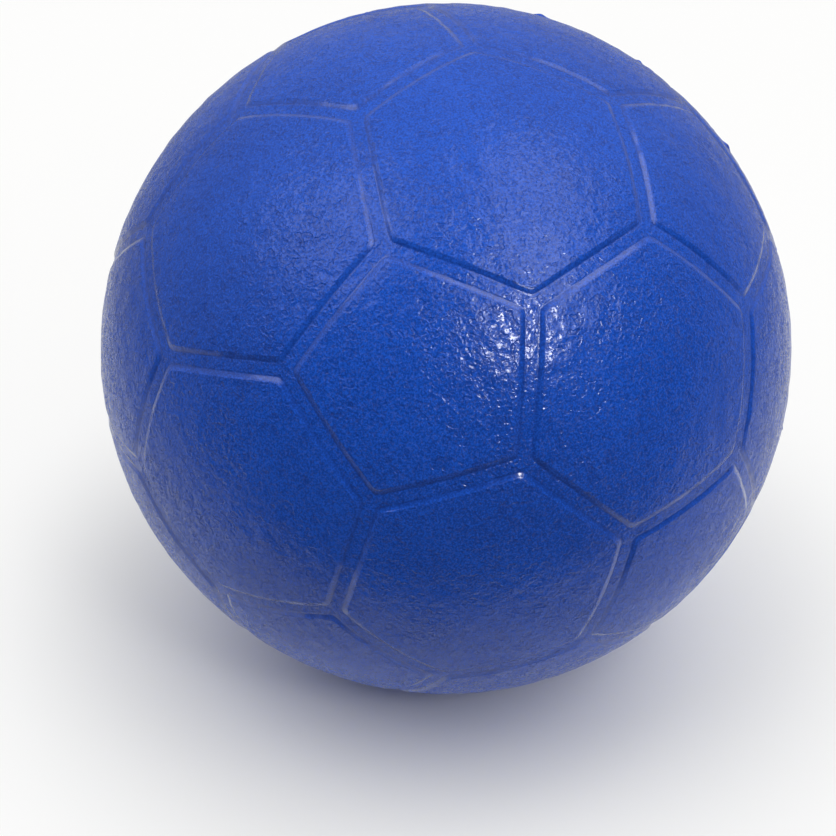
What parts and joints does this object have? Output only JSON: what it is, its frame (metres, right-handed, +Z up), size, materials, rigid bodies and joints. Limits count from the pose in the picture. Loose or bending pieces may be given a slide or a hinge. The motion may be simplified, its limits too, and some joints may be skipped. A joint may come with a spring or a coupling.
{
  "type": "foam soccer ball",
  "caption": "Soft foam ball with a grained, semi-gloss blue skin; shallow grooves part the pentagon and hexagon panels. For kicking, throwing and catching indoors.",
  "frame": {"origin": "centre of the ball", "axes": "+Z up as the ball lies on the floor, -Y towards the viewer of the picture, +X to the viewer's right"},
  "size_m": [0.2, 0.2, 0.2],
  "materials": {
    "skin": "semi-gloss elastomer skin with a fine irregular pebble grain",
    "foam": "matt flexible foam with fine closed cells"
  },
  "bodies": {
    "root": {"foam_core": "foam", "front_skin_half": "skin", "back_skin_half": "skin"}
  },
  "joints": []
}
